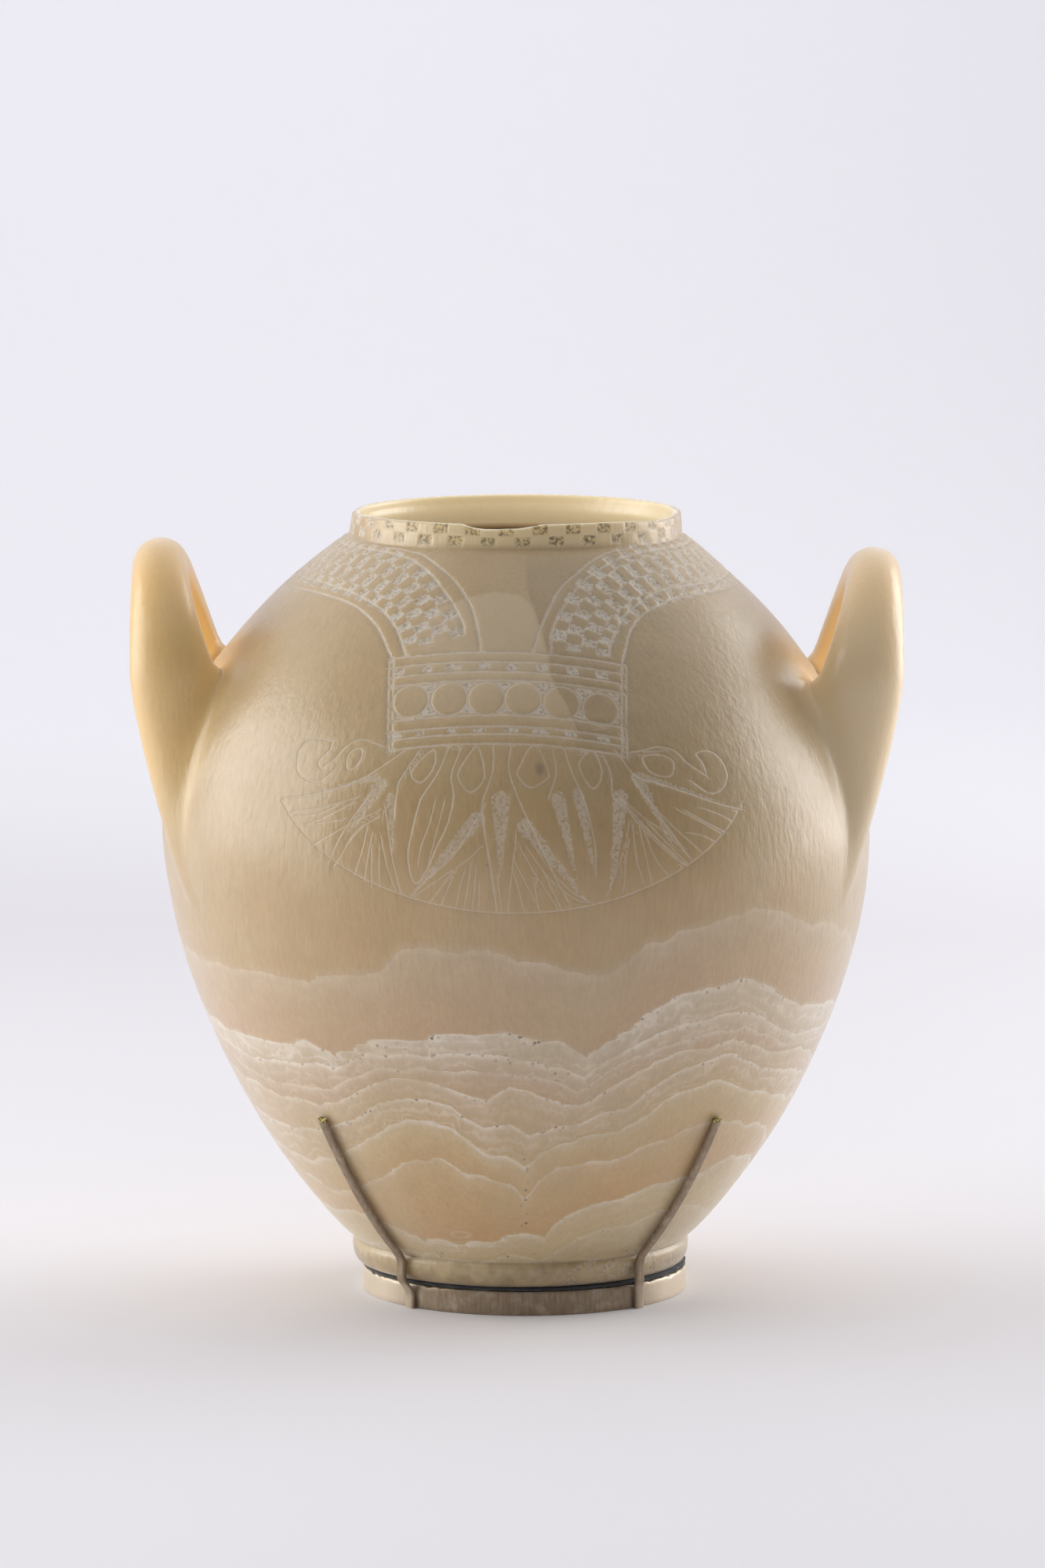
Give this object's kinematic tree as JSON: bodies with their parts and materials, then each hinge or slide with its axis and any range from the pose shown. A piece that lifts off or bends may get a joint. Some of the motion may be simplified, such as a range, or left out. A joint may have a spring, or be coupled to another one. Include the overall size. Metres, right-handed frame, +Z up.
{
  "type": "two-handled stone jar on a ring mount",
  "caption": "Big-bellied banded alabaster jar with two arched handles, a carved collar and lotus on its front, standing in a low ring mount with four prongs.",
  "frame": {"origin": "on the floor, below the middle of the whole part's box", "axes": "+Z up through the mouth, +X towards the right handle, -Y towards the carved front"},
  "size_m": [0.3016, 0.2795, 0.31],
  "materials": {
    "alabaster": "polished by hand, worn",
    "painted_brass": "rough toned paint",
    "felt": "dark felt"
  },
  "bodies": {
    "root": {"jar": "alabaster", "mount_ring": "painted_brass", "mount_prong_front_left": "painted_brass", "mount_prong_front_right": "painted_brass", "mount_prong_back_left": "painted_brass", "mount_prong_back_right": "painted_brass", "liner": "felt"}
  },
  "joints": []
}
